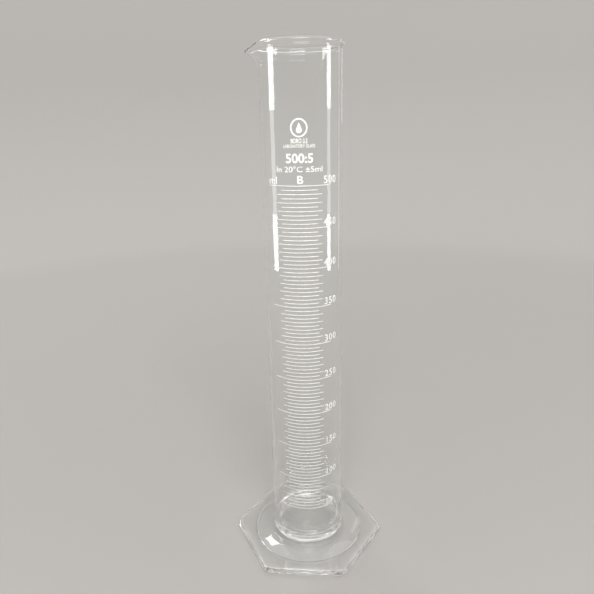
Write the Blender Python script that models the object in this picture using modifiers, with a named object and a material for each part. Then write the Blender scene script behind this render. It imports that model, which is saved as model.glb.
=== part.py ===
"""Graduated cylinder, 500 ml, tall form: a glass tube with a spout, fused to a hexagonal foot.

Metres, +Z up. The origin is the centre of the foot on the table. The foot's corners lie on
the X axis, the spout points to -X and the white enamel scale faces -Y.
Running the file builds the whole object in the open Blender scene.
"""
import math

import bmesh
import bpy
from mathutils import Matrix

# Tube
TUBE_OUTER_DIAMETER = 0.0530
TUBE_WALL = 0.0018
FLOOR_THICKNESS = 0.0025        # glass of the closed end, at its middle
FLOOR_INNER_ROUND = 0.0100      # radius between the bore and the closed end
HEADROOM = 0.0834               # from the top mark up to the rim
RIM_BEAD_RADIUS = 0.0015        # fire-polished bead
COLLAR_PROUD = 0.0010           # the fused end bulges past the tube by this much
COLLAR_HEIGHT = 0.0030
COLLAR_BLEND = 0.0030           # the tube runs into the bulge over this height

# Spout
SPOUT_REACH = 0.0072            # past the rim's bead
SPOUT_DIP = 0.0040              # the tip hangs below the rim
SPOUT_DEPTH = 0.0180            # from the rim down to where the tube is round again
SPOUT_TIP_ROUND = math.radians(5)
SPOUT_FADE_POWER = 2.0          # how quickly it flares out towards the rim

# Foot
FOOT_ACROSS_FLATS = 0.0990
FOOT_EDGE_THICKNESS = 0.0050
FOOT_CORNER_ROUND = 0.0060
FOOT_TOP_EDGE_ROUND = 0.0012
FOOT_BOTTOM_EDGE_ROUND = 0.0007
BRIM_WIDTH = 0.0077             # flat rim between the hexagon's flats and the saucer
SAUCER_RISE = 0.0036            # from the brim up to the tube's seat
SEAT_COVE_WIDTH = 0.0025
SEAT_COVE_SHARE = 0.3           # of the saucer's rise
SAUCER_BELLY_SHARE = 0.1        # how far the cone bulges, as a share of the rise
HOLLOW_INSET = 0.0005           # the hollow under the foot is this much smaller than the saucer
HOLLOW_DEPTH = 0.0036
HOLLOW_EDGE_RISE = 0.0014

# Enamel scale
CAPACITY_ML = 500
MARK_STEP_ML = 50
MARK_HALF_ANGLE = math.radians(45)
MARK_WIDTH = 0.0005
ENAMEL_THICKNESS = 0.00015
FIGURE_HEIGHT = 0.0048
FIGURE_WIDTH = 0.0029
FIGURE_PITCH = 0.0036
FIGURE_LIFT = 0.0009            # from a mark up to the foot of its figure
FIGURE_START_ANGLE = math.radians(34)

# Clearance between pieces that touch
GAP = 0.0003

# Mesh fineness
TURN_STEPS = 72
MARK_STEPS = 18
SPOUT_ROWS = 7
ROUND_STEPS = 5
FIGURE_RESOLUTION = 2

# Sizes that follow
TUBE_RADIUS = TUBE_OUTER_DIAMETER / 2
BORE_RADIUS = TUBE_RADIUS - TUBE_WALL
COLLAR_RADIUS = TUBE_RADIUS + COLLAR_PROUD
RIM_RADIUS = BORE_RADIUS + 2 * RIM_BEAD_RADIUS
SEAT_Z = FOOT_EDGE_THICKNESS + SAUCER_RISE
TUBE_BOTTOM_Z = SEAT_Z + GAP
FLOOR_Z = TUBE_BOTTOM_Z + FLOOR_THICKNESS
SAUCER_RADIUS = FOOT_ACROSS_FLATS / 2 - BRIM_WIDTH
HOLLOW_RADIUS = SAUCER_RADIUS - HOLLOW_INSET
ENAMEL_RADIUS = TUBE_RADIUS + GAP
CUBIC_METRES_PER_ML = 1e-6
MERGE = 1e-6

GLASS_COLOUR = (0.93, 0.97, 0.95, 1.0)
ENAMEL_COLOUR = (0.90, 0.90, 0.87, 1.0)


def floor_round_loss():
    """Volume that the rounded inner corner takes from the bore."""
    area = FLOOR_INNER_ROUND ** 2 * (1 - math.pi / 4)
    centroid = BORE_RADIUS - FLOOR_INNER_ROUND * (10 - 3 * math.pi) / (12 - 3 * math.pi)
    return 2 * math.pi * centroid * area


def mark_height(millilitres):
    """Height of the liquid's surface for a volume, so the scale follows the bore."""
    volume = millilitres * CUBIC_METRES_PER_ML + floor_round_loss()
    return FLOOR_Z + volume / (math.pi * BORE_RADIUS ** 2)


RIM_Z = mark_height(CAPACITY_ML) + HEADROOM


# ---------------------------------------------------------------- scene and helpers

def clear_scene():
    for item in list(bpy.data.objects):
        bpy.data.objects.remove(item, do_unlink=True)


def new_collection(name):
    collection = bpy.data.collections.new(name)
    bpy.context.scene.collection.children.link(collection)
    return collection


def new_material(name, colour, roughness, transmission=0.0):
    material = bpy.data.materials.new(name)
    material.use_nodes = True
    shader = material.node_tree.nodes["Principled BSDF"]
    shader.inputs["Base Color"].default_value = colour
    shader.inputs["Metallic"].default_value = 0.0
    shader.inputs["Roughness"].default_value = roughness
    shader.inputs["Transmission Weight"].default_value = transmission
    material.diffuse_color = colour
    return material


def add_object(name, data, collection, material=None):
    item = bpy.data.objects.new(name, data)
    collection.objects.link(item)
    if material:
        data.materials.append(material)
    return item


def finished_mesh(item, name):
    """Mesh of the object with its modifiers applied; the object is removed."""
    bpy.context.view_layer.update()
    evaluated = item.evaluated_get(bpy.context.evaluated_depsgraph_get())
    mesh = bpy.data.meshes.new_from_object(evaluated)
    mesh.transform(item.matrix_world)
    mesh.name = name
    bpy.data.objects.remove(item, do_unlink=True)
    return mesh


def arc(centre_r, centre_z, radius, start_degrees, end_degrees, steps):
    """Points of a profile's arc, both ends included."""
    points = []
    for step in range(steps + 1):
        angle = math.radians(start_degrees + (end_degrees - start_degrees) * step / steps)
        points.append((centre_r + radius * math.cos(angle), centre_z + radius * math.sin(angle)))
    return points


def turned(name, profile, collection):
    """Solid turned about Z from a profile of (radius, height) points that ends on the axis."""
    mesh = bpy.data.meshes.new(name + "_profile")
    points = [(radius, 0, height) for radius, height in profile]
    edges = [(index, index + 1) for index in range(len(points) - 1)]
    mesh.from_pydata(points, edges, [])
    item = add_object(name, mesh, collection)
    screw = item.modifiers.new("Turn", 'SCREW')
    screw.steps = TURN_STEPS
    screw.render_steps = TURN_STEPS
    screw.use_merge_vertices = True
    screw.merge_threshold = MERGE
    return item


def boolean(target, cutter, operation):
    modifier = target.modifiers.new(operation.title(), 'BOOLEAN')
    modifier.operation = operation
    modifier.object = cutter
    modifier.solver = 'EXACT'


def mark_as_cutter(item):
    item.hide_render = True
    item.display_type = 'WIRE'


def shade_round(mesh, sharp_degrees=35):
    mesh.shade_smooth()
    mesh.set_sharp_from_angle(angle=math.radians(sharp_degrees))


# ---------------------------------------------------------------- tube

def tube_profile():
    """Section of the tube: up the bore, over the rim and down the outside to the axis."""
    floor_round = arc(BORE_RADIUS - FLOOR_INNER_ROUND, FLOOR_Z + FLOOR_INNER_ROUND,
                      FLOOR_INNER_ROUND, -90, 0, ROUND_STEPS)
    bead_r = BORE_RADIUS + RIM_BEAD_RADIUS
    bead_z = RIM_Z - RIM_BEAD_RADIUS
    bead = arc(bead_r, bead_z, RIM_BEAD_RADIUS, 180, -45, 2 * ROUND_STEPS)
    rows = [RIM_Z - 3 * RIM_BEAD_RADIUS - (SPOUT_DEPTH - 3 * RIM_BEAD_RADIUS) * row / SPOUT_ROWS
            for row in range(SPOUT_ROWS + 1)]
    inside = [(BORE_RADIUS, height) for height in reversed(rows)]
    outside = [(TUBE_RADIUS, height) for height in rows]
    collar_round = COLLAR_HEIGHT / 2
    collar = [(TUBE_RADIUS, TUBE_BOTTOM_Z + COLLAR_HEIGHT + COLLAR_BLEND)]
    collar += arc(COLLAR_RADIUS - collar_round, TUBE_BOTTOM_Z + collar_round,
                  collar_round, 45, -90, ROUND_STEPS)
    return [(0, FLOOR_Z)] + floor_round + inside + bead + outside + collar + [(0, TUBE_BOTTOM_Z)]


def spout_pull(angle):
    """How far out and down the rim is pulled, at an angle from the spout's middle.

    From above, the spout's sides are the two tangents from its tip to the rim's circle.
    """
    spread = math.acos(RIM_RADIUS / (RIM_RADIUS + SPOUT_REACH)) + SPOUT_TIP_ROUND
    rounded = math.hypot(angle, SPOUT_TIP_ROUND)
    if rounded >= spread:
        return 0.0, 0.0
    out = RIM_RADIUS / math.cos(spread - rounded) - RIM_RADIUS
    down = SPOUT_DIP * ((spread - rounded) / (spread - SPOUT_TIP_ROUND)) ** 2
    return out, down


def pull_spout(mesh):
    """Move the rim's glass outwards and down, fading out below the rim."""
    for vertex in mesh.vertices:
        depth = RIM_Z - vertex.co.z
        if depth > SPOUT_DEPTH:
            continue
        radius = math.hypot(vertex.co.x, vertex.co.y)
        out, down = spout_pull(math.atan2(vertex.co.y, -vertex.co.x))
        fade = (1 - depth / SPOUT_DEPTH) ** SPOUT_FADE_POWER
        vertex.co.x *= 1 + out * fade / radius
        vertex.co.y *= 1 + out * fade / radius
        vertex.co.z -= down * fade


def build_tube(collection, cutters, material):
    item = turned("measuring_tube", tube_profile(), cutters)
    mesh = finished_mesh(item, "measuring_tube")
    pull_spout(mesh)
    shade_round(mesh)
    return add_object("measuring_tube", mesh, collection, material)


# ---------------------------------------------------------------- foot

def hexagon_plate(cutters):
    """Six-sided plate with round corners and softened edges."""
    circumradius = FOOT_ACROSS_FLATS / 2 / math.cos(math.radians(30))
    bm = bmesh.new()
    bmesh.ops.create_cone(bm, cap_ends=True, segments=6, radius1=circumradius,
                          radius2=circumradius, depth=FOOT_EDGE_THICKNESS,
                          matrix=Matrix.Translation((0, 0, FOOT_EDGE_THICKNESS / 2)))
    corner_angle = max(math.atan2(v.co.y, v.co.x) for v in bm.verts if v.co.y > 0)
    bmesh.ops.rotate(bm, verts=bm.verts, matrix=Matrix.Rotation(math.pi - corner_angle, 3, 'Z'))
    uprights = [e for e in bm.edges if abs(e.verts[0].co.z - e.verts[1].co.z) > MERGE]
    bmesh.ops.bevel(bm, geom=uprights, offset=FOOT_CORNER_ROUND * math.tan(math.radians(30)),
                    segments=ROUND_STEPS, profile=0.5, affect='EDGES')
    for height, rounding in ((FOOT_EDGE_THICKNESS, FOOT_TOP_EDGE_ROUND),
                             (0, FOOT_BOTTOM_EDGE_ROUND)):
        rim = [e for e in bm.edges if all(abs(v.co.z - height) < MERGE for v in e.verts)]
        bmesh.ops.bevel(bm, geom=rim, offset=rounding, segments=3, profile=0.5, affect='EDGES')
    mesh = bpy.data.meshes.new("foot_plate")
    bm.to_mesh(mesh)
    bm.free()
    return add_object("foot_plate", mesh, cutters)


def saucer_profile():
    """Turned middle of the foot: the flat seat, a cove and a shallow cone to the brim."""
    cove_end = COLLAR_RADIUS + SEAT_COVE_WIDTH
    cove_drop = SAUCER_RISE * SEAT_COVE_SHARE
    profile = [(0, SEAT_Z), (COLLAR_RADIUS, SEAT_Z)]
    for step in range(1, ROUND_STEPS + 1):
        share = step / ROUND_STEPS
        profile.append((COLLAR_RADIUS + SEAT_COVE_WIDTH * share,
                        SEAT_Z - cove_drop * math.sin(share * math.pi / 2)))
    belly = SAUCER_RISE * SAUCER_BELLY_SHARE
    for step in range(1, ROUND_STEPS + 1):
        share = step / ROUND_STEPS
        height = (SEAT_Z - cove_drop) * (1 - share) + FOOT_EDGE_THICKNESS * share
        profile.append((cove_end + (SAUCER_RADIUS - cove_end) * share,
                        height + belly * math.sin(share * math.pi)))
    middle = FOOT_EDGE_THICKNESS / 2
    return profile + [(SAUCER_RADIUS, middle), (0, middle)]


def hollow_profile():
    """Cutter for the shallow dish under the foot."""
    edge_r = HOLLOW_RADIUS - HOLLOW_EDGE_RISE
    profile = []
    for step in range(ROUND_STEPS + 1):
        share = step / ROUND_STEPS
        height = HOLLOW_DEPTH - (HOLLOW_DEPTH - HOLLOW_EDGE_RISE) * share ** 2
        profile.append((edge_r * share, height))
    below = -FOOT_EDGE_THICKNESS
    return profile + [(HOLLOW_RADIUS, 0), (HOLLOW_RADIUS, below), (0, below)]


def build_foot(collection, cutters, material):
    plate = hexagon_plate(cutters)
    saucer = turned("foot_saucer", saucer_profile(), cutters)
    hollow = turned("foot_hollow", hollow_profile(), cutters)
    for item in (saucer, hollow):
        mark_as_cutter(item)
    boolean(plate, saucer, 'UNION')
    boolean(plate, hollow, 'DIFFERENCE')
    mesh = finished_mesh(plate, "hexagonal_foot")
    shade_round(mesh)
    return add_object("hexagonal_foot", mesh, collection, material)


# ---------------------------------------------------------------- enamel scale

def wrap_on_tube(mesh, azimuth, height):
    """Bend a flat mesh round the tube: x goes round it, y up it and z outwards."""
    for vertex in mesh.vertices:
        angle = azimuth + vertex.co.x / TUBE_RADIUS
        radius = ENAMEL_RADIUS + vertex.co.z
        up = height + vertex.co.y
        vertex.co = (radius * math.sin(angle), -radius * math.cos(angle), up)


def build_mark(millilitres, collection, material):
    """One long graduation line, a curved strip across the front of the tube."""
    length = 2 * MARK_HALF_ANGLE * TUBE_RADIUS
    bm = bmesh.new()
    box = Matrix.Diagonal((length, MARK_WIDTH, ENAMEL_THICKNESS, 1))
    bmesh.ops.create_cube(bm, size=1, matrix=box)
    bmesh.ops.translate(bm, verts=bm.verts, vec=(0, 0, ENAMEL_THICKNESS / 2))
    long_edges = [e for e in bm.edges if e.calc_length() > length / 2]
    bmesh.ops.subdivide_edges(bm, edges=long_edges, cuts=MARK_STEPS - 1)
    name = f"ring_mark_{millilitres}"
    mesh = bpy.data.meshes.new(name)
    bm.to_mesh(mesh)
    bm.free()
    wrap_on_tube(mesh, 0, mark_height(millilitres))
    return add_object(name, mesh, collection, material)


def glyph_mesh(character, name, collection):
    """Flat solid of a character in the built-in font, 2 units thick, as the font draws it."""
    text = bpy.data.curves.new(name + "_outline", 'FONT')
    text.body = character
    text.extrude = 1.0
    text.resolution_u = FIGURE_RESOLUTION
    text.render_resolution_u = 0
    mesh = finished_mesh(add_object(name + "_outline", text, collection), name)
    bm = bmesh.new()
    bm.from_mesh(mesh)
    bmesh.ops.remove_doubles(bm, verts=bm.verts, dist=MERGE)
    bm.to_mesh(mesh)
    bm.free()
    return mesh


def figure_scale(collection):
    """Matrix that gives the font's round digit the figures' size and the enamel's thickness."""
    mesh = glyph_mesh("0", "size_of_a_figure", collection)
    width, height = (max(v.co[axis] for v in mesh.vertices) - min(v.co[axis] for v in mesh.vertices)
                     for axis in (0, 1))
    bpy.data.meshes.remove(mesh)
    return (Matrix.Diagonal((FIGURE_WIDTH / width, FIGURE_HEIGHT / height, ENAMEL_THICKNESS / 2, 1))
            @ Matrix.Translation((0, 0, 1)))


def build_figure(millilitres, scale, collection, material):
    """The figure above a mark's right end, one piece for each digit."""
    for place, character in enumerate(str(millilitres), start=1):
        name = f"figure_{millilitres}_digit_{place}"
        mesh = glyph_mesh(character, name, collection)
        mesh.transform(scale)
        azimuth = FIGURE_START_ANGLE + (place - 1) * FIGURE_PITCH / TUBE_RADIUS
        wrap_on_tube(mesh, azimuth, mark_height(millilitres) + FIGURE_LIFT)
        add_object(name, mesh, collection, material)


def build_scale(collection, material):
    scale = figure_scale(collection)
    for millilitres in range(MARK_STEP_ML, CAPACITY_ML + 1, MARK_STEP_ML):
        build_mark(millilitres, collection, material)
        build_figure(millilitres, scale, collection, material)


# ---------------------------------------------------------------- whole object

def main():
    clear_scene()
    parts = new_collection("graduated_cylinder")
    cutters = new_collection("cutters")
    glass = new_material("borosilicate_glass", GLASS_COLOUR, roughness=0.02, transmission=1.0)
    enamel = new_material("white_fired_enamel", ENAMEL_COLOUR, roughness=0.45)

    build_tube(parts, cutters, glass)
    build_foot(parts, cutters, glass)
    build_scale(parts, enamel)

    origin = bpy.data.objects.new("graduated_cylinder_origin", None)
    parts.objects.link(origin)
    for item in parts.objects:
        if item.type == 'MESH':
            item.parent = origin


main()
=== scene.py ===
"""Looks of a 500 ml graduated cylinder: a glass tube on a hexagonal foot, with an enamel scale.

Everything is in metres, in the CAD's frame: the foot stands on z = 0, its corners lie on the
X axis, the spout points to -X and the scale faces -Y. A bearing is an angle round the tube,
measured from the middle of the scale (-Y) towards +X.
"""
import logging
import math
from dataclasses import dataclass, field
from enum import Enum

import bmesh
import bpy
from mathutils import Matrix, Vector


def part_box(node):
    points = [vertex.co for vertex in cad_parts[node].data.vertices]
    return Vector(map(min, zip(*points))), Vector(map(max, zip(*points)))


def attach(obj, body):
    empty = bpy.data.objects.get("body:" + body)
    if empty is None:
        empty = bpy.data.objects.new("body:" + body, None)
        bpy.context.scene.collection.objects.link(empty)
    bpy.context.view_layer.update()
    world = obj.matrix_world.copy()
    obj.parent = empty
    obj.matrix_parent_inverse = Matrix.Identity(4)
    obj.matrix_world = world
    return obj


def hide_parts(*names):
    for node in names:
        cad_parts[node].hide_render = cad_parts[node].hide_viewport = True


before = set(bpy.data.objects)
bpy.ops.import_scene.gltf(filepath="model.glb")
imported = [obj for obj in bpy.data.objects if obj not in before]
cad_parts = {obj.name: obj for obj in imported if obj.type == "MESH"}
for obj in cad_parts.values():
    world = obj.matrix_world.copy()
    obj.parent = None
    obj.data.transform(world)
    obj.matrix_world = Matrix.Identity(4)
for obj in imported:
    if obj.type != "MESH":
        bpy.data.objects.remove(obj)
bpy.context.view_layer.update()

log = logging.getLogger("graduated_cylinder")

BODY = "root"
MM = 0.001
MERGE = 1e-6

Point = tuple[float, float]


# ---------------------------------------------------------------- helpers

def linear(colour: str) -> tuple[float, float, float, float]:
    """Turn an sRGB hex colour to the linear values that Blender works in.

    Args:
        colour: Hex value such as "#F4F2EC".

    Returns:
        Linear red, green, blue and an alpha of 1.
    """
    channels = []
    for start in (1, 3, 5):
        value = int(colour[start:start + 2], 16) / 255
        channels.append(value / 12.92 if value <= 0.04045 else ((value + 0.055) / 1.055) ** 2.4)
    return (*channels, 1.0)


def per_metre(millimetres: float) -> float:
    """Texture scale at which a pattern repeats about every so many millimetres."""
    return 1 / (millimetres * MM)


def add_node(tree: bpy.types.NodeTree, kind: str, links: dict | None = None,
             values: dict | None = None, **settings: object) -> bpy.types.Node:
    """Add a node to a tree, with its settings, its values and what feeds it.

    Args:
        tree: Node tree that gets the node.
        kind: Blender's name for the node's type.
        links: Output sockets of other nodes, by the name or number of the input that they feed.
        values: Values of inputs, by the input's name or number.
        settings: Properties of the node itself.

    Returns:
        The new node.
    """
    node = tree.nodes.new(kind)
    for name, value in settings.items():
        setattr(node, name, value)
    for socket, value in (values or {}).items():
        node.inputs[socket].default_value = value
    for socket, source in (links or {}).items():
        tree.links.new(source, node.inputs[socket])
    return node


def arc(centre: Point, radius: float, start: float, end: float, steps: int) -> list[Point]:
    """Points along an arc of a section, both ends included.

    Args:
        centre: Radius and height of the arc's centre.
        radius: Radius of the arc.
        start: Angle of the first point in degrees, from outwards towards up.
        end: Angle of the last point in degrees.
        steps: Number of steps from the first point to the last.

    Returns:
        Radius and height of each point.
    """
    points = []
    for step in range(steps + 1):
        angle = math.radians(start + (end - start) * step / steps)
        points.append((centre[0] + radius * math.cos(angle), centre[1] + radius * math.sin(angle)))
    return points


def spaced(start: float, end: float, steps: int) -> list[float]:
    """Evenly spaced values from start to end, both included."""
    return [start + (end - start) * step / steps for step in range(steps + 1)]


def new_object(name: str, data: bpy.types.ID) -> bpy.types.Object:
    """Make an object at the origin and put it in the scene.

    Args:
        name: Name of the object.
        data: Mesh, curve, light or camera that it shows.

    Returns:
        The object.
    """
    item = bpy.data.objects.new(name, data)
    bpy.context.scene.collection.objects.link(item)
    return item


def plain_mesh(item: bpy.types.Object, name: str) -> bpy.types.Mesh:
    """Turn an object and its modifiers into a plain mesh, and remove the object.

    Args:
        item: Object to take the shape from.
        name: Name of the mesh.

    Returns:
        A mesh that depends on nothing else.
    """
    bpy.context.view_layer.update()
    evaluated = item.evaluated_get(bpy.context.evaluated_depsgraph_get())
    mesh = bpy.data.meshes.new_from_object(evaluated)
    mesh.name = name
    bpy.data.objects.remove(item, do_unlink=True)
    return mesh


def grown(name: str, tree: bpy.types.NodeTree, sizes: dict,
          base: bpy.types.Mesh | None = None) -> bpy.types.Mesh:
    """Run a Geometry Nodes tree once and keep what it makes.

    Args:
        name: Name of the mesh.
        tree: Geometry Nodes tree.
        sizes: Values for the tree's inputs, by the inputs' names.
        base: Mesh that the tree starts from, if it needs one.

    Returns:
        The tree's result as a plain mesh.
    """
    item = new_object(name + "_base", base or bpy.data.meshes.new(name + "_base"))
    modifier = item.modifiers.new("Grow", 'NODES')
    modifier.node_group = tree
    for socket in tree.interface.items_tree:
        if socket.item_type == 'SOCKET' and socket.in_out == 'INPUT' and socket.name in sizes:
            modifier[socket.identifier] = sizes[socket.name]
    return plain_mesh(item, name)


def cleaned(mesh: bpy.types.Mesh) -> bpy.types.Mesh:
    """Join the vertices that meet and point all faces outwards.

    Args:
        mesh: Mesh to clean.

    Returns:
        The same mesh.
    """
    bm = bmesh.new()
    bm.from_mesh(mesh)
    bmesh.ops.remove_doubles(bm, verts=bm.verts, dist=MERGE)
    bmesh.ops.recalc_face_normals(bm, faces=bm.faces)
    bm.to_mesh(mesh)
    bm.free()
    return mesh


def new_tree(name: str, sockets: list[tuple[str, str]]) -> bpy.types.NodeTree:
    """Start a Geometry Nodes tree with named inputs and one geometry output.

    Args:
        name: Name of the tree.
        sockets: Name and socket type of each input.

    Returns:
        The tree, without nodes.
    """
    tree = bpy.data.node_groups.new(name, 'GeometryNodeTree')
    for label, kind in sockets:
        tree.interface.new_socket(label, in_out='INPUT', socket_type=kind)
    tree.interface.new_socket("Geometry", in_out='OUTPUT', socket_type='NodeSocketGeometry')
    return tree


def end_tree(tree: bpy.types.NodeTree, shape: bpy.types.NodeSocket,
             material: bpy.types.NodeSocket) -> None:
    """End a Geometry Nodes tree: make its instances real and give them their material.

    Args:
        tree: Tree to end.
        shape: Socket that gives the finished geometry.
        material: Socket that gives its material.
    """
    real = add_node(tree, 'GeometryNodeRealizeInstances', {"Geometry": shape})
    dressed = add_node(tree, 'GeometryNodeSetMaterial',
                       {"Geometry": real.outputs["Geometry"], "Material": material})
    add_node(tree, 'NodeGroupOutput', {"Geometry": dressed.outputs["Geometry"]})


def new_material(name: str) -> tuple[bpy.types.Material, bpy.types.NodeTree, bpy.types.Node]:
    """Start a material.

    Args:
        name: Name of the finish.

    Returns:
        The material, its node tree and the tree's main shader.
    """
    material = bpy.data.materials.new(name)
    material.use_nodes = True
    tree = material.node_tree
    return material, tree, tree.nodes["Principled BSDF"]


# ---------------------------------------------------------------- finishes

@dataclass(frozen=True)
class ClearGlass:
    """Borosilicate 3.3 glass, colourless, with waves in its surface from how it was made."""

    name: str
    clear: str
    tinted: str
    wave_width: float
    wave_stretch: float
    wave_depth: float
    smear_size: float
    smear_roughness: float
    ior: float = 1.473

    def material(self) -> bpy.types.Material:
        """Build the material.

        Returns:
            A clear glass whose surface waves bend what shows through it and in it.
        """
        material, tree, shader = new_material(self.name)
        shader.inputs["Transmission Weight"].default_value = 1.0
        shader.inputs["Metallic"].default_value = 0.0
        shader.inputs["IOR"].default_value = self.ior
        place = add_node(tree, 'ShaderNodeTexCoord')
        along = add_node(tree, 'ShaderNodeMapping', {"Vector": place.outputs["Object"]},
                         {"Scale": (1.0, 1.0, 1 / self.wave_stretch)})
        waves = add_node(tree, 'ShaderNodeTexNoise', {"Vector": along.outputs["Vector"]},
                         {"Scale": per_metre(self.wave_width), "Detail": 1.0})
        bump = add_node(tree, 'ShaderNodeBump', {"Height": waves.outputs["Fac"]},
                        {"Strength": 1.0, "Distance": self.wave_depth * MM})
        smears = add_node(tree, 'ShaderNodeTexNoise', {"Vector": place.outputs["Object"]},
                          {"Scale": per_metre(self.smear_size), "Detail": 4.0})
        rough = add_node(tree, 'ShaderNodeMapRange', {"Value": smears.outputs["Fac"]},
                         {"From Min": 0.55, "From Max": 0.85, "To Min": 0.0,
                          "To Max": self.smear_roughness})
        colour = add_node(tree, 'ShaderNodeMix', {"Factor": waves.outputs["Fac"]},
                          {"A": linear(self.clear), "B": linear(self.tinted)}, data_type='RGBA')
        tree.links.new(colour.outputs["Result"], shader.inputs["Base Color"])
        tree.links.new(rough.outputs["Result"], shader.inputs["Roughness"])
        tree.links.new(bump.outputs["Normal"], shader.inputs["Normal"])
        return material


# Drawn tubing: fine lines a few millimetres apart run along the draw, and show as soft streaks.
DRAWN_GLASS = ClearGlass(name="drawn_borosilicate_glass", clear="#FFFFFF", tinted="#FEFFFE",
                         wave_width=5.0, wave_stretch=30.0, wave_depth=0.010,
                         smear_size=22.0, smear_roughness=0.03)

# Pressed in a mould and fire-polished: broad, watery waves about a centimetre across.
PRESSED_GLASS = ClearGlass(name="pressed_borosilicate_glass", clear="#FFFFFF", tinted="#FDFEFD",
                           wave_width=11.0, wave_stretch=1.0, wave_depth=0.060,
                           smear_size=16.0, smear_roughness=0.04)


@dataclass(frozen=True)
class FusedJoint:
    """The plane where tube and foot are melted together: one glass, so nothing shows there."""

    name: str = "fused_glass_joint"

    def material(self) -> bpy.types.Material:
        """Build the material.

        Returns:
            A surface that light passes without bending.
        """
        material, tree, shader = new_material(self.name)
        tree.nodes.remove(shader)
        clear = add_node(tree, 'ShaderNodeBsdfTransparent')
        tree.links.new(clear.outputs["BSDF"], tree.nodes["Material Output"].inputs["Surface"])
        return material


@dataclass(frozen=True)
class FiredEnamel:
    """White screen-printed enamel, fired on: opaque, satin, a little grainy and uneven."""

    name: str = "fired_white_enamel"
    thick: str = "#FBFBF7"
    thin: str = "#E4E5E1"
    patch_size: float = 2.2
    grain_size: float = 0.35        # the screen's mesh is 0.1 mm, drawn coarser so that it shows
    grain_depth: float = 0.006
    smooth: float = 0.30
    rough: float = 0.55
    ior: float = 1.52

    def material(self) -> bpy.types.Material:
        """Build the material.

        Returns:
            A white enamel whose cover and gloss vary a little from place to place.
        """
        material, tree, shader = new_material(self.name)
        shader.inputs["Metallic"].default_value = 0.0
        shader.inputs["IOR"].default_value = self.ior
        place = add_node(tree, 'ShaderNodeTexCoord')
        patches = add_node(tree, 'ShaderNodeTexNoise', {"Vector": place.outputs["Object"]},
                           {"Scale": per_metre(self.patch_size), "Detail": 3.0})
        cover = add_node(tree, 'ShaderNodeMapRange', {"Value": patches.outputs["Fac"]},
                         {"From Min": 0.35, "From Max": 0.65})
        colour = add_node(tree, 'ShaderNodeMix', {"Factor": cover.outputs["Result"]},
                          {"A": linear(self.thin), "B": linear(self.thick)}, data_type='RGBA')
        gloss = add_node(tree, 'ShaderNodeMapRange', {"Value": patches.outputs["Fac"]},
                         {"From Min": 0.3, "From Max": 0.7, "To Min": self.rough,
                          "To Max": self.smooth})
        grain = add_node(tree, 'ShaderNodeTexNoise', {"Vector": place.outputs["Object"]},
                         {"Scale": per_metre(self.grain_size), "Detail": 2.0})
        bump = add_node(tree, 'ShaderNodeBump', {"Height": grain.outputs["Fac"]},
                        {"Strength": 1.0, "Distance": self.grain_depth * MM})
        tree.links.new(colour.outputs["Result"], shader.inputs["Base Color"])
        tree.links.new(gloss.outputs["Result"], shader.inputs["Roughness"])
        tree.links.new(bump.outputs["Normal"], shader.inputs["Normal"])
        return material


@dataclass(frozen=True)
class TentCloth:
    """Matt white cloth of a light tent: its floor is lit from inside, and its wall gets a painted glow
    that brightens it, more the farther it is from the middle.
    """

    name: str = "tent_cloth"
    colour: str = "#989592"
    roughness: float = 0.9
    glow: str = "#FFFDFA"
    glow_strength: float = 0.20
    glow_from: float = 0.1          # distance from the middle where the painted glow starts, in metres
    glow_to: float = 1.1

    def material(self) -> bpy.types.Material:
        """Build the material.

        Returns:
            A plain matt surface with a painted glow that is stronger the farther it is from the middle.
        """
        material, tree, shader = new_material(self.name)
        shader.inputs["Base Color"].default_value = linear(self.colour)
        shader.inputs["Roughness"].default_value = self.roughness
        shader.inputs["Specular IOR Level"].default_value = 0.0
        shader.inputs["Emission Color"].default_value = linear(self.glow)
        place = add_node(tree, 'ShaderNodeTexCoord')
        away = add_node(tree, 'ShaderNodeVectorMath', {0: place.outputs["Object"]},
                        operation='LENGTH')
        # Painted glow: emission that brightens the sweep more the farther it is from the middle,
        # standing in for light falling on the wall.
        glow = add_node(tree, 'ShaderNodeMapRange', {"Value": away.outputs["Value"]},
                        {"From Min": self.glow_from, "From Max": self.glow_to,
                         "To Max": self.glow_strength})
        tree.links.new(glow.outputs["Result"], shader.inputs["Emission Strength"])
        return material


# ---------------------------------------------------------------- turned shapes

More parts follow.
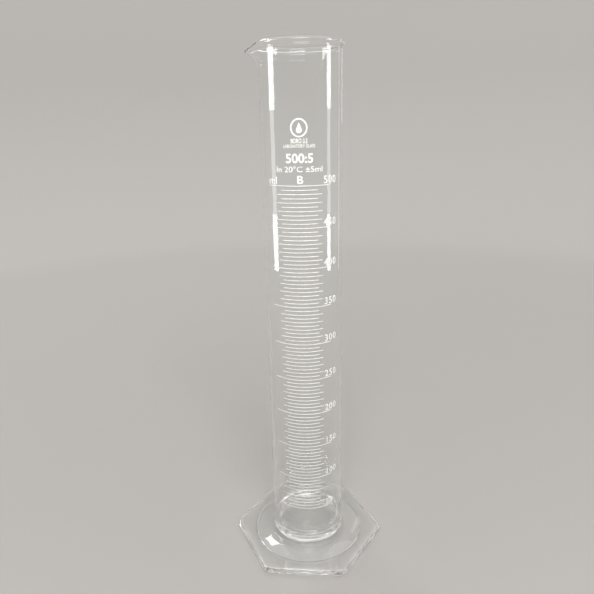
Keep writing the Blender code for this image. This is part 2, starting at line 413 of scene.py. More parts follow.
@dataclass
class Lathe:
    """Geometry Nodes tree that turns a section about the Z axis."""

    steps: int = 256
    path_radius: float = 0.01
    tree: bpy.types.NodeTree | None = field(default=None, init=False)

    def build(self) -> bpy.types.NodeTree:
        """Build the tree: the section is swept round a circle, and its poles are closed.

        Returns:
            The tree, with inputs for the section, the circle and the material.
        """
        tree = new_tree("turned_section", [("Section", 'NodeSocketGeometry'),
                                           ("Path Radius", 'NodeSocketFloat'),
                                           ("Steps", 'NodeSocketInt'),
                                           ("Material", 'NodeSocketMaterial')])
        given = add_node(tree, 'NodeGroupInput').outputs
        section = add_node(tree, 'GeometryNodeMeshToCurve', {"Mesh": given["Section"]})
        circle = add_node(tree, 'GeometryNodeCurvePrimitiveCircle',
                          {"Resolution": given["Steps"], "Radius": given["Path Radius"]})
        upright = add_node(tree, 'GeometryNodeSetCurveNormal', {"Curve": circle.outputs["Curve"]},
                           mode='Z_UP')
        swept = add_node(tree, 'GeometryNodeCurveToMesh', {"Curve": upright.outputs["Curve"],
                                                           "Profile Curve": section.outputs["Curve"]})
        closed = add_node(tree, 'GeometryNodeMergeByDistance',
                          {"Geometry": swept.outputs["Mesh"]}, {"Distance": MERGE})
        end_tree(tree, closed.outputs["Geometry"], given["Material"])
        return tree

    def turn(self, name: str, section: list[Point], material: bpy.types.Material) -> bpy.types.Mesh:
        """Turn a section about the Z axis.

        Args:
            name: Name of the mesh.
            section: Radius and height of each point, in order along the section.
            material: Material of the whole surface.

        Returns:
            The turned surface as a plain mesh.
        """
        if self.tree is None:
            self.tree = self.build()
        profile = bpy.data.meshes.new(name + "_section")
        points = [(radius - self.path_radius, -height, 0) for radius, height in section]
        profile.from_pydata(points, [(i, i + 1) for i in range(len(points) - 1)], [])
        sizes = {"Path Radius": self.path_radius, "Steps": self.steps, "Material": material}
        return grown(name, self.tree, sizes, profile)


# ---------------------------------------------------------------- glass

@dataclass
class MeasuringTube:
    """Drawn glass tube with a closed end, a fire-polished rim and a pulled spout."""

    rim_z: float
    joint_z: float
    outer_radius: float = 26.5 * MM
    wall: float = 1.8 * MM
    floor_z: float = 11.4 * MM
    floor_round: float = 10.0 * MM
    floor_steps: int = 16
    bead: float = 1.5 * MM
    bead_end: float = -60.0         # angle where the bead meets the outside, below level
    bead_steps: int = 20
    rows_start: float = 3.0         # the rows below the rim start this many bead radii down
    collar_radius: float = 27.5 * MM
    collar_height: float = 3.1 * MM
    collar_blend: float = 3.0 * MM
    collar_top: float = 45.0        # angles where the collar's round starts and ends
    collar_bottom: float = -50.0
    collar_steps: int = 8
    joint_radius: float = 26.9 * MM
    spout_reach: float = 7.2 * MM
    spout_dip: float = 4.0 * MM
    spout_depth: float = 18.0 * MM
    spout_tip_round: float = math.radians(5)
    spout_rows: int = 30
    body_rows: int = 24

    def section(self) -> list[Point]:
        """Section of the tube: up the bore, over the bead and down the outside to the joint.

        Returns:
            Radius and height of each point.
        """
        bore = self.outer_radius - self.wall
        spout_rows = spaced(self.rim_z - self.rows_start * self.bead, self.rim_z - self.spout_depth,
                            self.spout_rows)
        body_rows = spaced(self.rim_z - self.spout_depth, self.floor_z + self.floor_round,
                           self.body_rows)[1:-1]
        outside_end = self.joint_z + self.collar_height + self.collar_blend
        outside_rows = spaced(self.rim_z - self.spout_depth, outside_end, self.body_rows)[1:]
        floor = arc((bore - self.floor_round, self.floor_z + self.floor_round),
                    self.floor_round, -90, 0, self.floor_steps)
        bead = arc((bore + self.bead, self.rim_z - self.bead), self.bead, 180, self.bead_end,
                   self.bead_steps)
        return ([(0.0, self.floor_z)] + floor
                + [(bore, z) for z in reversed(body_rows)]
                + [(bore, z) for z in reversed(spout_rows)]
                + bead
                + [(self.outer_radius, z) for z in spout_rows]
                + [(self.outer_radius, z) for z in outside_rows]
                + self.collar_section()
                + [(self.joint_radius, self.joint_z), (0.0, self.joint_z)])

    def collar_section(self) -> list[Point]:
        """Section of the bulge at the fused end.

        Returns:
            Radius and height of each point, from the blend with the tube down to the joint.
        """
        round_radius = self.collar_height / 2
        centre = (self.collar_radius - round_radius, self.joint_z + round_radius)
        top = arc(centre, round_radius, self.collar_top, 0, self.collar_steps)
        under = arc(centre, round_radius, 0, self.collar_bottom, self.collar_steps)
        blend = []
        start = (self.outer_radius, self.joint_z + self.collar_height + self.collar_blend)
        for share in spaced(0, 1, self.collar_steps)[1:-1]:
            ease = share * share * (3 - 2 * share)
            blend.append((start[0] + (top[0][0] - start[0]) * ease,
                          start[1] + (top[0][1] - start[1]) * share))
        return blend + top + under[1:]

    def spout_pull(self, angle: float) -> Point:
        """How far the rim is pulled at an angle from the spout's middle.

        Seen from above, the spout's sides are the two tangents from its tip to the rim's circle.

        Args:
            angle: Angle in radians from the middle of the spout.

        Returns:
            Distance outwards and distance down.
        """
        rim_radius = self.outer_radius - self.wall + 2 * self.bead
        spread = math.acos(rim_radius / (rim_radius + self.spout_reach)) + self.spout_tip_round
        rounded = math.hypot(angle, self.spout_tip_round)
        if rounded >= spread:
            return 0.0, 0.0
        out = rim_radius / math.cos(spread - rounded) - rim_radius
        down = self.spout_dip * ((spread - rounded) / (spread - self.spout_tip_round)) ** 2
        return out, down

    def pull_spout(self, mesh: bpy.types.Mesh) -> None:
        """Draw the rim's glass outwards and down at the spout, less and less below the rim.

        Args:
            mesh: The turned tube.
        """
        for vertex in mesh.vertices:
            depth = self.rim_z - vertex.co.z
            if depth > self.spout_depth:
                continue
            radius = math.hypot(vertex.co.x, vertex.co.y)
            out, down = self.spout_pull(math.atan2(vertex.co.y, -vertex.co.x))
            fade = (1 - depth / self.spout_depth) ** 2
            vertex.co.x *= 1 + out * fade / radius
            vertex.co.y *= 1 + out * fade / radius
            vertex.co.z -= down * fade

    def build(self, lathe: Lathe, glass: bpy.types.Material,
              joint: bpy.types.Material) -> bpy.types.Object:
        """Build the tube and dress it.

        Args:
            lathe: Lathe that turns the section.
            glass: Finish of the tube.
            joint: Finish of the plane where the tube meets the foot.

        Returns:
            The tube, standing for its CAD node.
        """
        mesh = cleaned(lathe.turn("tube_glass", self.section(), glass))
        self.pull_spout(mesh)
        finish_glass(mesh, joint, self.joint_z, self.joint_radius)
        tube = new_object("tube_glass", mesh)
        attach(tube, BODY)
        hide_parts("measuring_tube")
        return tube


@dataclass
class HexagonalFoot:
    """Pressed glass foot: a six-sided plate, raised to the tube's seat and hollow underneath."""

    half_width: float
    joint_z: float
    joint_radius: float = 26.9 * MM
    plate_z: float = 5.0 * MM
    corner_round: float = 6.0 * MM
    top_round: float = 1.2 * MM
    bottom_round: float = 0.7 * MM
    seat_radius: float = 27.5 * MM
    seat_drop: float = 0.15 * MM    # how far the seat lies below the joint
    seam_width: float = 0.2 * MM
    seam_height: float = 0.05 * MM
    cove_width: float = 2.5 * MM
    cove_share: float = 0.3
    belly_share: float = 0.1
    saucer_radius: float = 41.8 * MM
    saucer_blend: float = 0.4 * MM
    hollow_radius: float = 41.3 * MM
    hollow_edge: float = 1.4 * MM
    hollow_depth: float = 3.6 * MM
    cove_rows: int = 10
    cone_rows: int = 24
    brim_rows: int = 5
    top_rows: int = 8
    bottom_rows: int = 6
    ground_rows: int = 4
    hollow_edge_rows: int = 8
    dish_rows: int = 30
    corner_step: float = 0.4        # degrees between columns near a corner
    corner_columns: int = 12
    side_step: float = 2.0          # degrees between columns along a side
    side_columns: range = range(3, 28)

    def edge_radius(self, angle: float, inset: float) -> float:
        """Distance from the middle to the rounded hexagon's edge.

        Args:
            angle: Angle in radians from the X axis, which passes through two corners.
            inset: How far inside the foot's outline the edge lies.

        Returns:
            The distance in that direction.
        """
        sector = math.radians(60)
        off_corner = abs((angle + sector / 2) % sector - sector / 2)
        flat, rounding = self.half_width - inset, self.corner_round - inset
        centre = (self.half_width - self.corner_round) / math.cos(sector / 2)
        turn = math.atan2(rounding / 2, centre + rounding * math.cos(sector / 2))
        if off_corner < turn:
            across = centre * math.sin(off_corner)
            return centre * math.cos(off_corner) + math.sqrt(rounding ** 2 - across ** 2)
        return flat / math.cos(sector / 2 - off_corner)

    def saucer_rows(self) -> list[Point]:
        """Rows down the cone.

        Returns:
            Radius and height of each row, from the joint to the brim.
        """
        seat_z = self.joint_z - self.seat_drop
        drop = (seat_z - self.plate_z) * self.cove_share
        rows = [(self.joint_radius, self.joint_z),
                (self.joint_radius + self.seam_width, seat_z + self.seam_height),
                (self.seat_radius, seat_z)]
        for share in spaced(0, 1, self.cove_rows)[1:]:
            rows.append((self.seat_radius + self.cove_width * share,
                         seat_z - drop * math.sin(share * math.pi / 2)))
        start, top = self.seat_radius + self.cove_width, seat_z - drop
        belly = (seat_z - self.plate_z) * self.belly_share
        end = self.saucer_radius - self.saucer_blend
        for share in spaced(0, 1, self.cone_rows)[1:]:
            radius = start + (end - start) * share
            along = (radius - start) / (self.saucer_radius - start)
            height = top + (self.plate_z - top) * along + belly * math.sin(along * math.pi)
            rows.append((radius, height))
        last = rows[-1]
        for share in (0.25, 0.5, 0.75, 1.0):
            rows.append((last[0] + 2 * self.saucer_blend * share,
                         self.plate_z + (last[1] - self.plate_z) * (1 - share) ** 2))
        return rows

    def hollow_rows(self) -> list[Point]:
        """Rows across the hollow.

        Returns:
            Radius and height of each row, from the hollow's edge to the middle.
        """
        corner = arc((self.hollow_radius, self.hollow_edge), self.hollow_edge, -90, -180,
                     self.hollow_edge_rows)
        inner = self.hollow_radius - self.hollow_edge
        rise = self.hollow_depth - self.hollow_edge
        dish = []
        for share in spaced(1, 0, self.dish_rows)[1:]:
            dish.append((inner * share, self.hollow_depth - rise * share ** 2))
        return corner + dish

    def ring_rows(self, angle: float) -> list[Point]:
        """Radius and height of every row of the foot in one direction.

        Args:
            angle: Angle in radians from the X axis.

        Returns:
            The rows from the joint, over the edge and under the foot to its middle.
        """
        rows = self.saucer_rows()
        brim_start = rows[-1][0]
        brim_end = self.edge_radius(angle, self.top_round)
        rows += [(radius, self.plate_z) for radius in spaced(brim_start, brim_end, self.brim_rows)[1:]]
        for turn in spaced(90, 0, self.top_rows)[1:]:
            lift = math.sin(math.radians(turn))
            inset = self.top_round * (1 - math.cos(math.radians(turn)))
            rows.append((self.edge_radius(angle, inset), self.plate_z - self.top_round * (1 - lift)))
        for turn in spaced(0, -90, self.bottom_rows):
            lift = math.sin(math.radians(turn))
            inset = self.bottom_round * (1 - math.cos(math.radians(turn)))
            rows.append((self.edge_radius(angle, inset), self.bottom_round * (1 + lift)))
        ground_start = self.edge_radius(angle, self.bottom_round)
        ground = spaced(ground_start, self.hollow_radius, self.ground_rows)
        rows += [(radius, 0.0) for radius in ground[1:-1]]
        return rows + self.hollow_rows()

    def columns(self) -> list[float]:
        """Directions of the foot's columns, closer together at the round corners.

        Returns:
            Angles in radians from the X axis, in order.
        """
        near_corner = range(-self.corner_columns, self.corner_columns + 1)
        angles = []
        for corner in range(0, 360, 60):
            angles += [corner + self.corner_step * step for step in near_corner]
            angles += [corner + self.side_step * step for step in self.side_columns]
        return sorted(math.radians(angle % 360) for angle in angles)

    def mesh(self, glass: bpy.types.Material) -> bpy.types.Mesh:
        """Lay the rows and columns out as a closed skin.

        Args:
            glass: Finish of the foot.

        Returns:
            The foot's mesh.
        """
        bm = bmesh.new()
        rings = []
        for angle in self.columns():
            rows = self.ring_rows(angle)
            ring = [bm.verts.new((r * math.cos(angle), r * math.sin(angle), z)) for r, z in rows[:-1]]
            rings.append(ring)
        top = bm.verts.new((0, 0, self.joint_z))
        bottom = bm.verts.new((0, 0, self.hollow_depth))
        for ring, after in zip(rings, rings[1:] + rings[:1]):
            bm.faces.new((top, ring[0], after[0]))
            for row in range(len(ring) - 1):
                bm.faces.new((ring[row], ring[row + 1], after[row + 1], after[row]))
            bm.faces.new((ring[-1], bottom, after[-1]))
        mesh = bpy.data.meshes.new("foot_glass")
        bm.to_mesh(mesh)
        bm.free()
        mesh.materials.append(glass)
        return cleaned(mesh)

    def build(self, glass: bpy.types.Material, joint: bpy.types.Material) -> bpy.types.Object:
        """Build the foot and dress it.

        Args:
            glass: Finish of the foot.
            joint: Finish of the plane where the foot meets the tube.

        Returns:
            The foot, standing for its CAD node.
        """
        mesh = self.mesh(glass)
        finish_glass(mesh, joint, self.joint_z, self.joint_radius)
        foot = new_object("foot_glass", mesh)
        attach(foot, BODY)
        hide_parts("hexagonal_foot")
        return foot


def finish_glass(mesh: bpy.types.Mesh, joint: bpy.types.Material, joint_z: float,
                 joint_radius: float, sharp_from: float = math.radians(50)) -> None:
    """Shade a glass mesh smoothly and give the fused plane its own finish.

    Args:
        mesh: Mesh of the tube or the foot, with the glass in its first material slot.
        joint: Finish of the fused plane.
        joint_z: Height of that plane.
        joint_radius: Radius that the plane ends at.
        sharp_from: Angle between two faces from which their edge is shaded sharp.
    """
    mesh.materials.append(joint)
    mesh.shade_smooth()
    for face in mesh.polygons:
        flat = abs(face.center.z - joint_z) < MERGE
        if flat and math.hypot(face.center.x, face.center.y) < joint_radius:
            face.material_index = 1
    mesh.set_sharp_from_angle(angle=sharp_from)


# ---------------------------------------------------------------- enamel

@dataclass(frozen=True)
class PrintedTube:
    """The surface that the enamel is printed on."""

    radius: float = 26.5 * MM
    sunk: float = 0.02 * MM
    proud: float = 0.04 * MM

    @property
    def thickness(self) -> float:
        """Thickness of the enamel, with the part that is fired into the glass."""
        return self.sunk + self.proud

    @property
    def middle(self) -> float:
        """Radius of the middle of the enamel."""
        return self.radius + (self.proud - self.sunk) / 2

    def wrap(self, mesh: bpy.types.Mesh, bearing: float, height: float) -> None:
        """Bend a flat print round the tube: its x goes round the tube and its y up it.

        Args:
            mesh: Flat print, with its thickness in z.
            bearing: Bearing in radians of the print's x = 0.
            height: Height of the print's y = 0.
        """
        for vertex in mesh.vertices:
            angle = bearing + vertex.co.x / self.radius
            radius = self.middle + vertex.co.z
            up = height + vertex.co.y
            vertex.co = (radius * math.sin(angle), -radius * math.cos(angle), up)


class LineLength(Enum):
    """Half of each kind of graduation line, as an angle round the tube."""

    LONG = math.radians(45.0)
    MEDIUM = math.radians(31.6)
    SHORT = math.radians(25.3)


@dataclass(frozen=True)
class LineRun:
    """Lines of one length at even steps of volume."""

    name: str
    length: LineLength
    first_ml: float
    step_ml: float
    lines: int
    skip_one_in: int


@dataclass
class Graduations:
    """The 91 graduation lines, in three lengths, each printed by one Geometry Nodes tree."""

    surface: PrintedTube
    height_50: float
    height_500: float
    line_width: float = 0.45 * MM
    segments: int = 32
    runs: tuple[LineRun, ...] = (
        LineRun("long_lines", LineLength.LONG, 50, 50, 10, 0),
        LineRun("medium_lines", LineLength.MEDIUM, 60, 10, 44, 5),
        LineRun("short_lines", LineLength.SHORT, 55, 10, 45, 0))

    def height(self, millilitres: float) -> float:
        """Height of the line for a volume."""
        per_ml = (self.height_500 - self.height_50) / 450
        return self.height_50 + (millilitres - 50) * per_ml

    def tree(self) -> bpy.types.NodeTree:
        """Build the tree: a curved strip on each of a row of points up the tube.

        Returns:
            The tree, with inputs for the tube, the row and the strip.
        """
        sizes = ("Enamel Radius", "First Height", "Step Height", "Half Angle", "Line Width",
                 "Enamel Thickness")
        counts = ("Lines", "Skip One In", "Segments")
        sockets = [(label, 'NodeSocketFloat') for label in sizes]
        sockets += [(label, 'NodeSocketInt') for label in counts]
        tree = new_tree("graduation_lines", sockets + [("Enamel", 'NodeSocketMaterial')])
        given = add_node(tree, 'NodeGroupInput').outputs
        first = add_node(tree, 'ShaderNodeCombineXYZ', {"Z": given["First Height"]})
        step = add_node(tree, 'ShaderNodeCombineXYZ', {"Z": given["Step Height"]})
        row = add_node(tree, 'GeometryNodeMeshLine', {"Count": given["Lines"],
                                                      "Start Location": first.outputs["Vector"],
                                                      "Offset": step.outputs["Vector"]})
        index = add_node(tree, 'GeometryNodeInputIndex')
        number = add_node(tree, 'ShaderNodeMath', {0: index.outputs["Index"]}, {1: 1.0},
                          operation='ADD')
        left_over = add_node(tree, 'ShaderNodeMath', {0: number.outputs["Value"],
                                                      1: given["Skip One In"]}, operation='MODULO')
        skipping = add_node(tree, 'ShaderNodeMath', {0: given["Skip One In"]}, {1: 0.5},
                            operation='LESS_THAN')
        kept = add_node(tree, 'ShaderNodeMath', {0: left_over.outputs["Value"],
                                                 1: skipping.outputs["Value"]}, operation='ADD')
        chosen = add_node(tree, 'FunctionNodeCompare', {"A": kept.outputs["Value"]}, {"B": 0.5},
                          data_type='FLOAT', operation='GREATER_THAN')
        sweep = add_node(tree, 'ShaderNodeMath', {0: given["Half Angle"]}, {1: 2.0},
                         operation='MULTIPLY')
        start = add_node(tree, 'ShaderNodeMath', {1: given["Half Angle"]}, {0: -math.pi / 2},
                         operation='SUBTRACT')
        curve = add_node(tree, 'GeometryNodeCurveArc', {"Resolution": given["Segments"],
                                                        "Radius": given["Enamel Radius"],
                                                        "Start Angle": start.outputs["Value"],
                                                        "Sweep Angle": sweep.outputs["Value"]})
        upright = add_node(tree, 'GeometryNodeSetCurveNormal', {"Curve": curve.outputs["Curve"]},
                           mode='Z_UP')
        strip = add_node(tree, 'GeometryNodeCurvePrimitiveQuadrilateral',
                         {"Width": given["Enamel Thickness"], "Height": given["Line Width"]})
        line = add_node(tree, 'GeometryNodeCurveToMesh', {"Curve": upright.outputs["Curve"],
                                                          "Profile Curve": strip.outputs["Curve"]},
                        {"Fill Caps": True})
        printed = add_node(tree, 'GeometryNodeInstanceOnPoints',
                           {"Points": row.outputs["Mesh"], "Selection": chosen.outputs["Result"],
                            "Instance": line.outputs["Mesh"]})
        end_tree(tree, printed.outputs["Instances"], given["Enamel"])
        return tree

    def build(self, enamel: bpy.types.Material) -> list[bpy.types.Object]:
        """Print all three runs of lines.

        Args:
            enamel: Finish of the lines.

        Returns:
            One piece for each length of line.
        """
        tree = self.tree()
        pieces = []
        for run in self.runs:
            first = self.height(run.first_ml)
            sizes = {"Enamel Radius": self.surface.middle, "First Height": first,
                     "Step Height": self.height(run.first_ml + run.step_ml) - first,
                     "Lines": run.lines, "Skip One In": run.skip_one_in,
                     "Half Angle": run.length.value, "Line Width": self.line_width,
                     "Enamel Thickness": self.surface.thickness, "Segments": self.segments,
                     "Enamel": enamel}
            pieces.append(new_object(run.name, cleaned(grown(run.name, tree, sizes))))
            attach(pieces[-1], BODY)
        marks = [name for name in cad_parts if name.startswith("ring_mark_")]
        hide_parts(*marks)
        return pieces


class Weight(Enum):
    """How far a letter's outline is swollen, as a share of the font's size."""

    REGULAR = 0.0
    MEDIUM = 0.008
    BOLD = 0.022


@dataclass(frozen=True)
class Inscription:
    """A line of generic print: capitals' height, whole width, lift above the top line, bearing.

    The lengths are in metres and the bearing is in degrees.
    """

    name: str
    text: str
    capitals: float
    width: float
    lift: float
    bearing: float
    weight: Weight


@dataclass
class Lettering:
    """All the letters and figures that are printed on the tube."""

    surface: PrintedTube
    graduations: Graduations
    facet: float = 0.5 * MM
    figure_height: float = 4.8 * MM
    figure_width: float = 2.9 * MM
    figure_pitch: float = 3.6 * MM
    figure_lift: float = 0.9 * MM
    figure_bearing: float = math.radians(34)
    inscriptions: tuple[Inscription, ...] = (
        Inscription("capacity_and_division", "500:5", 5.4 * MM, 16.8 * MM, 13.8 * MM, 1.0, Weight.BOLD),
        Inscription("temperature_and_tolerance", "In 20°C ±5ml", 3.3 * MM, 29.3 * MM, 8.3 * MM, 0.6,
                    Weight.MEDIUM),
        Inscription("accuracy_class", "B", 4.8 * MM, 3.7 * MM, 1.4 * MM, 1.7, Weight.BOLD),
        Inscription("unit", "ml", 4.4 * MM, 6.2 * MM, 1.0 * MM, -38.5, Weight.MEDIUM),
        Inscription("glass_type", "BORO 3.3", 2.6 * MM, 10.0 * MM, 25.2 * MM, 1.0, Weight.BOLD),
        Inscription("glass_use", "LABORATORY GLASS", 1.9 * MM, 19.5 * MM, 22.6 * MM, 1.0,
                    Weight.MEDIUM))

    def flat_text(self, text: str, weight: Weight) -> bpy.types.Mesh:
        """Solid letters in the built-in font, 2 units thick and about 1 unit high.

        Args:
            text: What is written.
            weight: How heavy the letters are.

        Returns:
            The letters as a mesh, with the baseline on y = 0.
        """
        curve = bpy.data.curves.new(text, 'FONT')
        curve.body = text
        curve.extrude = 1.0
        curve.offset = weight.value
        curve.resolution_u = 4
        return plain_mesh(new_object("letters", curve), "letters")

    def sized(self, mesh: bpy.types.Mesh, origin: float, wide: float, tall: float) -> bpy.types.Mesh:
        """Give a flat print its real size and cut it finely enough to bend.

        Args:
            mesh: Flat print.
            origin: The mesh's x that becomes 0.
            wide: Scale of its width.
            tall: Scale of its height.

        Returns:
            The same mesh.
        """
        mesh.transform(Matrix.Diagonal((wide, tall, self.surface.thickness / 2, 1))
                       @ Matrix.Translation((-origin, 0, 0)))
        bm = bmesh.new()
        bm.from_mesh(mesh)
        low = min(v.co.x for v in bm.verts)
        high = max(v.co.x for v in bm.verts)
        cut = low + self.facet
        while cut < high:
            bmesh.ops.bisect_plane(bm, geom=bm.verts[:] + bm.edges[:] + bm.faces[:],
                                   plane_co=(cut, 0, 0), plane_no=(1, 0, 0))
            cut += self.facet
        bm.to_mesh(mesh)
        bm.free()
        return mesh

    def span(self, mesh: bpy.types.Mesh, axis: int) -> Point:
        """Lowest and highest coordinate of a mesh along an axis."""
        values = [vertex.co[axis] for vertex in mesh.vertices]
        return min(values), max(values)

    def capital_height(self, weight: Weight) -> float:
        """Measure a capital letter in the built-in font.

        Args:
            weight: How heavy the letter is.

        Returns:
            Its height above the baseline.
        """
        mesh = self.flat_text("I", weight)
        high = self.span(mesh, 1)[1]
        bpy.data.meshes.remove(mesh)
        return high

    def inscribe(self, line: Inscription) -> bpy.types.Mesh:
        """Print one line above the scale.

        Args:
            line: What is printed, and where.

        Returns:
            The print, wrapped on the tube.
        """
        mesh = self.flat_text(line.text, line.weight)
        left, right = self.span(mesh, 0)
        self.sized(mesh, (left + right) / 2, line.width / (right - left),
                   line.capitals / self.capital_height(line.weight))
        height = self.graduations.height_500 + line.lift
        self.surface.wrap(mesh, math.radians(line.bearing), height)
        return cleaned(mesh)

    def figures(self) -> bpy.types.Mesh:
        """Print the figure above each long line's right end, all in one mesh.

        Returns:
            The 29 digits, wrapped on the tube.
        """
        nought = self.flat_text("0", Weight.MEDIUM)
        left, right = self.span(nought, 0)
        low, high = self.span(nought, 1)
        wide, tall = self.figure_width / (right - left), self.figure_height / (high - low)
        bpy.data.meshes.remove(nought)
        bm = bmesh.new()
        for millilitres in range(50, 501, 50):
            for place, digit in enumerate(str(millilitres)):
                mesh = self.sized(self.flat_text(digit, Weight.MEDIUM), left, wide, tall)
                mesh.transform(Matrix.Translation((0, -low * tall, 0)))
                bearing = self.figure_bearing + place * self.figure_pitch / self.surface.radius
                height = self.graduations.height(millilitres) + self.figure_lift
                self.surface.wrap(mesh, bearing, height)
                bm.from_mesh(mesh)
                bpy.data.meshes.remove(mesh)
        mesh = bpy.data.meshes.new("figures")
        bm.to_mesh(mesh)
        bm.free()
        return cleaned(mesh)

    def dress(self, name: str, mesh: bpy.types.Mesh, enamel: bpy.types.Material) -> bpy.types.Object:
        """Make a print a piece of the object, in white enamel.

        Args:
            name: Name of the piece.
            mesh: The print, wrapped on the tube.
            enamel: Finish of the print.

        Returns:
            The piece.
        """
        mesh.materials.clear()
        mesh.materials.append(enamel)
        piece = new_object(name, mesh)
        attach(piece, BODY)
        return piece

    def build(self, enamel: bpy.types.Material) -> list[bpy.types.Object]:
        """Print the figures and every line of letters.

        Args:
            enamel: Finish of the print.

        Returns:
            The pieces.
        """
        figures = self.dress("figures", self.figures(), enamel)
        digits = [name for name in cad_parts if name.startswith("figure_")]
        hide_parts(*digits)
        lines = [self.dress(line.name, self.inscribe(line), enamel) for line in self.inscriptions]
        return [figures] + lines


@dataclass
class Emblem:
    """A plain drop in a ring, a generic sign for something that holds liquid.

    Its lift is measured from the top line, and its bearing is in degrees.
    """

    surface: PrintedTube
    lettering: Lettering
    lift: float = 28.5 * MM
    bearing: float = 1.0
    width: float = 10.4 * MM
    height: float = 10.9 * MM
    line: float = 0.9 * MM
    drop_height: float = 6.2 * MM
    drop_radius: float = 1.75 * MM

    def outline(self, curve: bpy.types.Curve, points: list[Point]) -> None:
        """Add a closed outline to a flat curve.

        Args:
            curve: Curve that gets the outline.
            points: Points round the outline.
        """
        spline = curve.splines.new('POLY')
        spline.points.add(len(points) - 1)
        for point, (x, y) in zip(spline.points, points):
            point.co = (x, y, 0, 1)
        spline.use_cyclic_u = True

    def oval(self, inset: float) -> list[Point]:
        """Outline of one side of the ring.

        Args:
            inset: How far inside the ring's outer edge it lies.

        Returns:
            Points round it.
        """
        across, up = self.width / 2 - inset, self.height / 2 - inset
        return [(across * math.cos(a), self.height / 2 + up * math.sin(a))
                for a in spaced(0, math.tau, 72)[:-1]]

    def drop(self) -> list[Point]:
        """Outline of the drop.

        Returns:
            Points round it, from its tip.
        """
        tip = self.height / 2 + self.drop_height / 2
        centre = self.height / 2 - self.drop_height / 2 + self.drop_radius
        lean = math.acos(self.drop_radius / (tip - centre))
        round_side = spaced(math.pi / 2 - lean, -3 * math.pi / 2 + lean, 36)
        return [(0.0, tip)] + [(self.drop_radius * math.cos(a), centre + self.drop_radius * math.sin(a))
                               for a in round_side]

    def build(self, enamel: bpy.types.Material) -> bpy.types.Object:
        """Print the emblem.

        Args:
            enamel: Finish of the print.

        Returns:
            The piece.
        """
        curve = bpy.data.curves.new("emblem", 'CURVE')
        curve.dimensions = '2D'
        curve.fill_mode = 'BOTH'
        curve.extrude = 1.0
        for points in (self.oval(0), self.oval(self.line), self.drop()):
            self.outline(curve, points)
        mesh = plain_mesh(new_object("emblem_outline", curve), "emblem")
        self.lettering.sized(mesh, 0.0, 1.0, 1.0)
        height = self.lettering.graduations.height_500 + self.lift
        self.surface.wrap(mesh, math.radians(self.bearing), height)
        return self.lettering.dress("emblem", cleaned(mesh), enamel)


# ---------------------------------------------------------------- studio

class Reach(Enum):
    """What a light can be seen in or falls on, besides its reflections."""

    REFLECTIONS = "reflections only"
    SURFACES = "matt surfaces too, but it is not seen through the glass"
    ALL = "everything"


@dataclass(frozen=True)
class Panel:
    """A soft rectangular light that faces the object, at a bearing in degrees."""

    name: str
    bearing: float
    distance: float
    height: float
    width: float
    tall: float
    power: float
    aim: float
    reach: Reach = Reach.ALL

    def build(self) -> None:
        """Put the light in the scene."""
        light = bpy.data.lights.new(self.name, 'AREA')
        light.shape = 'RECTANGLE'
        light.size = self.width
        light.size_y = self.tall
        light.energy = self.power
        lamp = new_object(self.name, light)
        angle = math.radians(self.bearing)
        lamp.location = (self.distance * math.sin(angle), -self.distance * math.cos(angle), self.height)
        away = Vector(lamp.location) - Vector((0, 0, self.aim))
        lamp.rotation_euler = away.to_track_quat('Z', 'Y').to_euler()
        lamp.visible_camera = False
        lamp.visible_transmission = self.reach is Reach.ALL
        lamp.visible_diffuse = self.reach is not Reach.REFLECTIONS


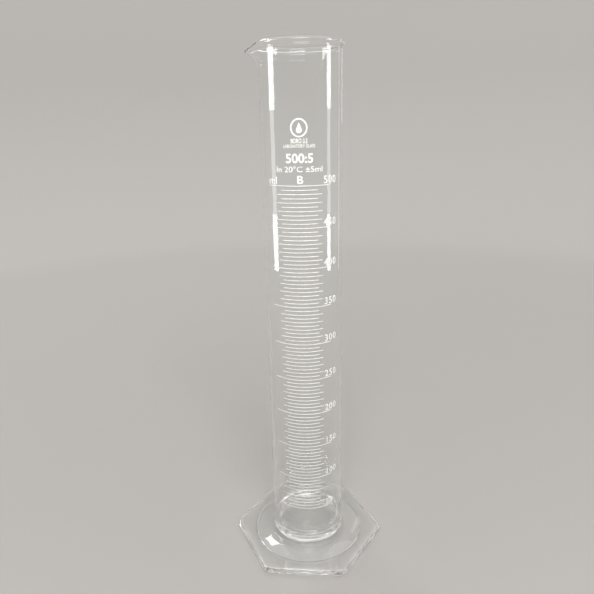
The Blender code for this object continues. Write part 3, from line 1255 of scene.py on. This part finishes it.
@dataclass
class Studio:
    """Pale floor that sweeps up all round, soft lights and the camera."""

    standing_gap: float = 0.1 * MM
    floor_radius: float = 1.0
    sweep_radius: float = 0.45
    sweep_steps: int = 24
    wall_height: float = 1.3
    world_colour: str = "#FFFFFF"
    world_strength: float = 0.6
    camera_place: tuple[float, float, float] = (0.024957, -0.362785, 0.310760)
    camera_yaw: float = math.radians(-4.72)
    camera_pitch: float = math.radians(17.70)
    camera_roll: float = math.radians(-1.29)
    camera_lens: float = 33.13
    bounces: int = 96               # light runs far along inside the foot and the rim
    # Name, bearing, distance, height of the middle, width, height, watts, height aimed at, reach.
    panels: tuple[Panel, ...] = (
        Panel("left_low_pane", -80, 0.8, 0.07, 0.24, 0.12, 1.1, 0.07, Reach.REFLECTIONS),
        Panel("left_middle_pane", -79, 0.8, 0.2325, 0.20, 0.205, 0.55, 0.2325, Reach.REFLECTIONS),
        Panel("left_high_pane", -78, 0.8, 0.62, 0.26, 0.57, 5.8, 0.62, Reach.REFLECTIONS),
        Panel("right_low_pane", 82, 0.8, 0.07, 0.17, 0.12, 0.8, 0.07, Reach.REFLECTIONS),
        Panel("right_middle_pane", 83, 0.8, 0.2325, 0.16, 0.205, 0.43, 0.2325, Reach.REFLECTIONS),
        Panel("right_high_pane", 84, 0.8, 0.62, 0.19, 0.57, 4.2, 0.62, Reach.REFLECTIONS),
        Panel("far_right_window", 128, 0.8, 0.46, 0.05, 0.90, 0.25, 0.46, Reach.REFLECTIONS),
        Panel("back_right_window", 153, 0.9, 0.55, 0.09, 0.50, 0.18, 0.3, Reach.REFLECTIONS),
        Panel("back_left_softbox", -145, 0.75, 0.93, 0.20, 0.18, 1.6, 0.0, Reach.SURFACES),
        Panel("front_softbox", 10, 0.7, 0.95, 0.6, 0.4, 11.0, 0.2),
        Panel("ceiling", 0, 0.0, 1.6, 2.2, 2.2, 16.0, 0.0))

    def floor(self, lathe: Lathe, cloth: bpy.types.Material) -> None:
        """Lay the floor and its sweep.

        Args:
            lathe: Lathe that turns the sweep's section.
            cloth: Finish of the sweep.
        """
        bend = arc((self.floor_radius, self.sweep_radius), self.sweep_radius, -90, 0,
                   self.sweep_steps)
        section = [(0.0, 0.0)] + bend + [(self.floor_radius + self.sweep_radius, self.wall_height)]
        mesh = lathe.turn("floor", section, cloth)
        mesh.transform(Matrix.Translation((0, 0, -self.standing_gap)))
        mesh.shade_smooth()
        floor = new_object("floor", mesh)

    def world(self) -> None:
        """Fill the room with soft light from above the sweep."""
        world = bpy.data.worlds.new("soft_room")
        world.use_nodes = True
        background = world.node_tree.nodes["Background"]
        background.inputs["Color"].default_value = linear(self.world_colour)
        background.inputs["Strength"].default_value = self.world_strength
        bpy.context.scene.world = world

    def camera(self) -> None:
        """Set the camera up in front of the scale and a little above it."""
        data = bpy.data.cameras.new("camera")
        data.sensor_width = 36.0
        data.lens = self.camera_lens
        data.clip_start = 0.01
        camera = new_object("camera", data)
        yaw, pitch, roll = self.camera_yaw, self.camera_pitch, self.camera_roll
        forward = Vector((math.sin(yaw) * math.cos(pitch), math.cos(yaw) * math.cos(pitch),
                          -math.sin(pitch)))
        level = Vector((math.cos(yaw), -math.sin(yaw), 0))
        upward = level.cross(forward)
        right = level * math.cos(roll) + upward * math.sin(roll)
        above = upward * math.cos(roll) - level * math.sin(roll)
        turn = Matrix((right, above, -forward)).transposed()
        camera.rotation_euler = turn.to_euler()
        camera.location = self.camera_place
        bpy.context.scene.camera = camera

    def build(self, lathe: Lathe, cloth: bpy.types.Material) -> None:
        """Set up the whole studio.

        Args:
            lathe: Lathe that turns the sweep.
            cloth: Finish of the sweep.
        """
        self.floor(lathe, cloth)
        self.world()
        for panel in self.panels:
            panel.build()
        self.camera()
        bpy.context.scene.view_settings.view_transform = 'Standard'
        cycles = bpy.context.scene.cycles
        cycles.max_bounces = self.bounces
        cycles.transmission_bounces = self.bounces
        cycles.glossy_bounces = self.bounces
        cycles.transparent_max_bounces = self.bounces
        cycles.blur_glossy = 0.0        # reflections stay sharp after the first bounce


# ---------------------------------------------------------------- whole object

def report(piece: bpy.types.Object) -> None:
    """Log a piece's name and how many faces it has."""
    log.info("%s: %d faces", piece.name, len(piece.data.polygons))


def middle_height(node: str) -> float:
    """Height of the middle of a CAD node."""
    low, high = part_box(node)
    return (low[2] + high[2]) / 2


def main() -> None:
    """Build the glass, the enamel and the studio, in that order."""
    logging.basicConfig(level=logging.INFO, format="%(name)s %(message)s")
    tube_low, tube_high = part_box("measuring_tube")
    foot_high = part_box("hexagonal_foot")[1]
    joint_z = (tube_low[2] + foot_high[2]) / 2

    lathe = Lathe()
    joint = FusedJoint().material()
    report(MeasuringTube(tube_high[2], joint_z).build(lathe, DRAWN_GLASS.material(), joint))
    report(HexagonalFoot(foot_high[1], joint_z).build(PRESSED_GLASS.material(), joint))

    enamel = FiredEnamel().material()
    surface = PrintedTube()
    graduations = Graduations(surface, middle_height("ring_mark_50"), middle_height("ring_mark_500"))
    lettering = Lettering(surface, graduations)
    for piece in graduations.build(enamel) + lettering.build(enamel):
        report(piece)
    report(Emblem(surface, lettering).build(enamel))

    Studio().build(lathe, TentCloth().material())


if __name__ == "__main__":
    main()
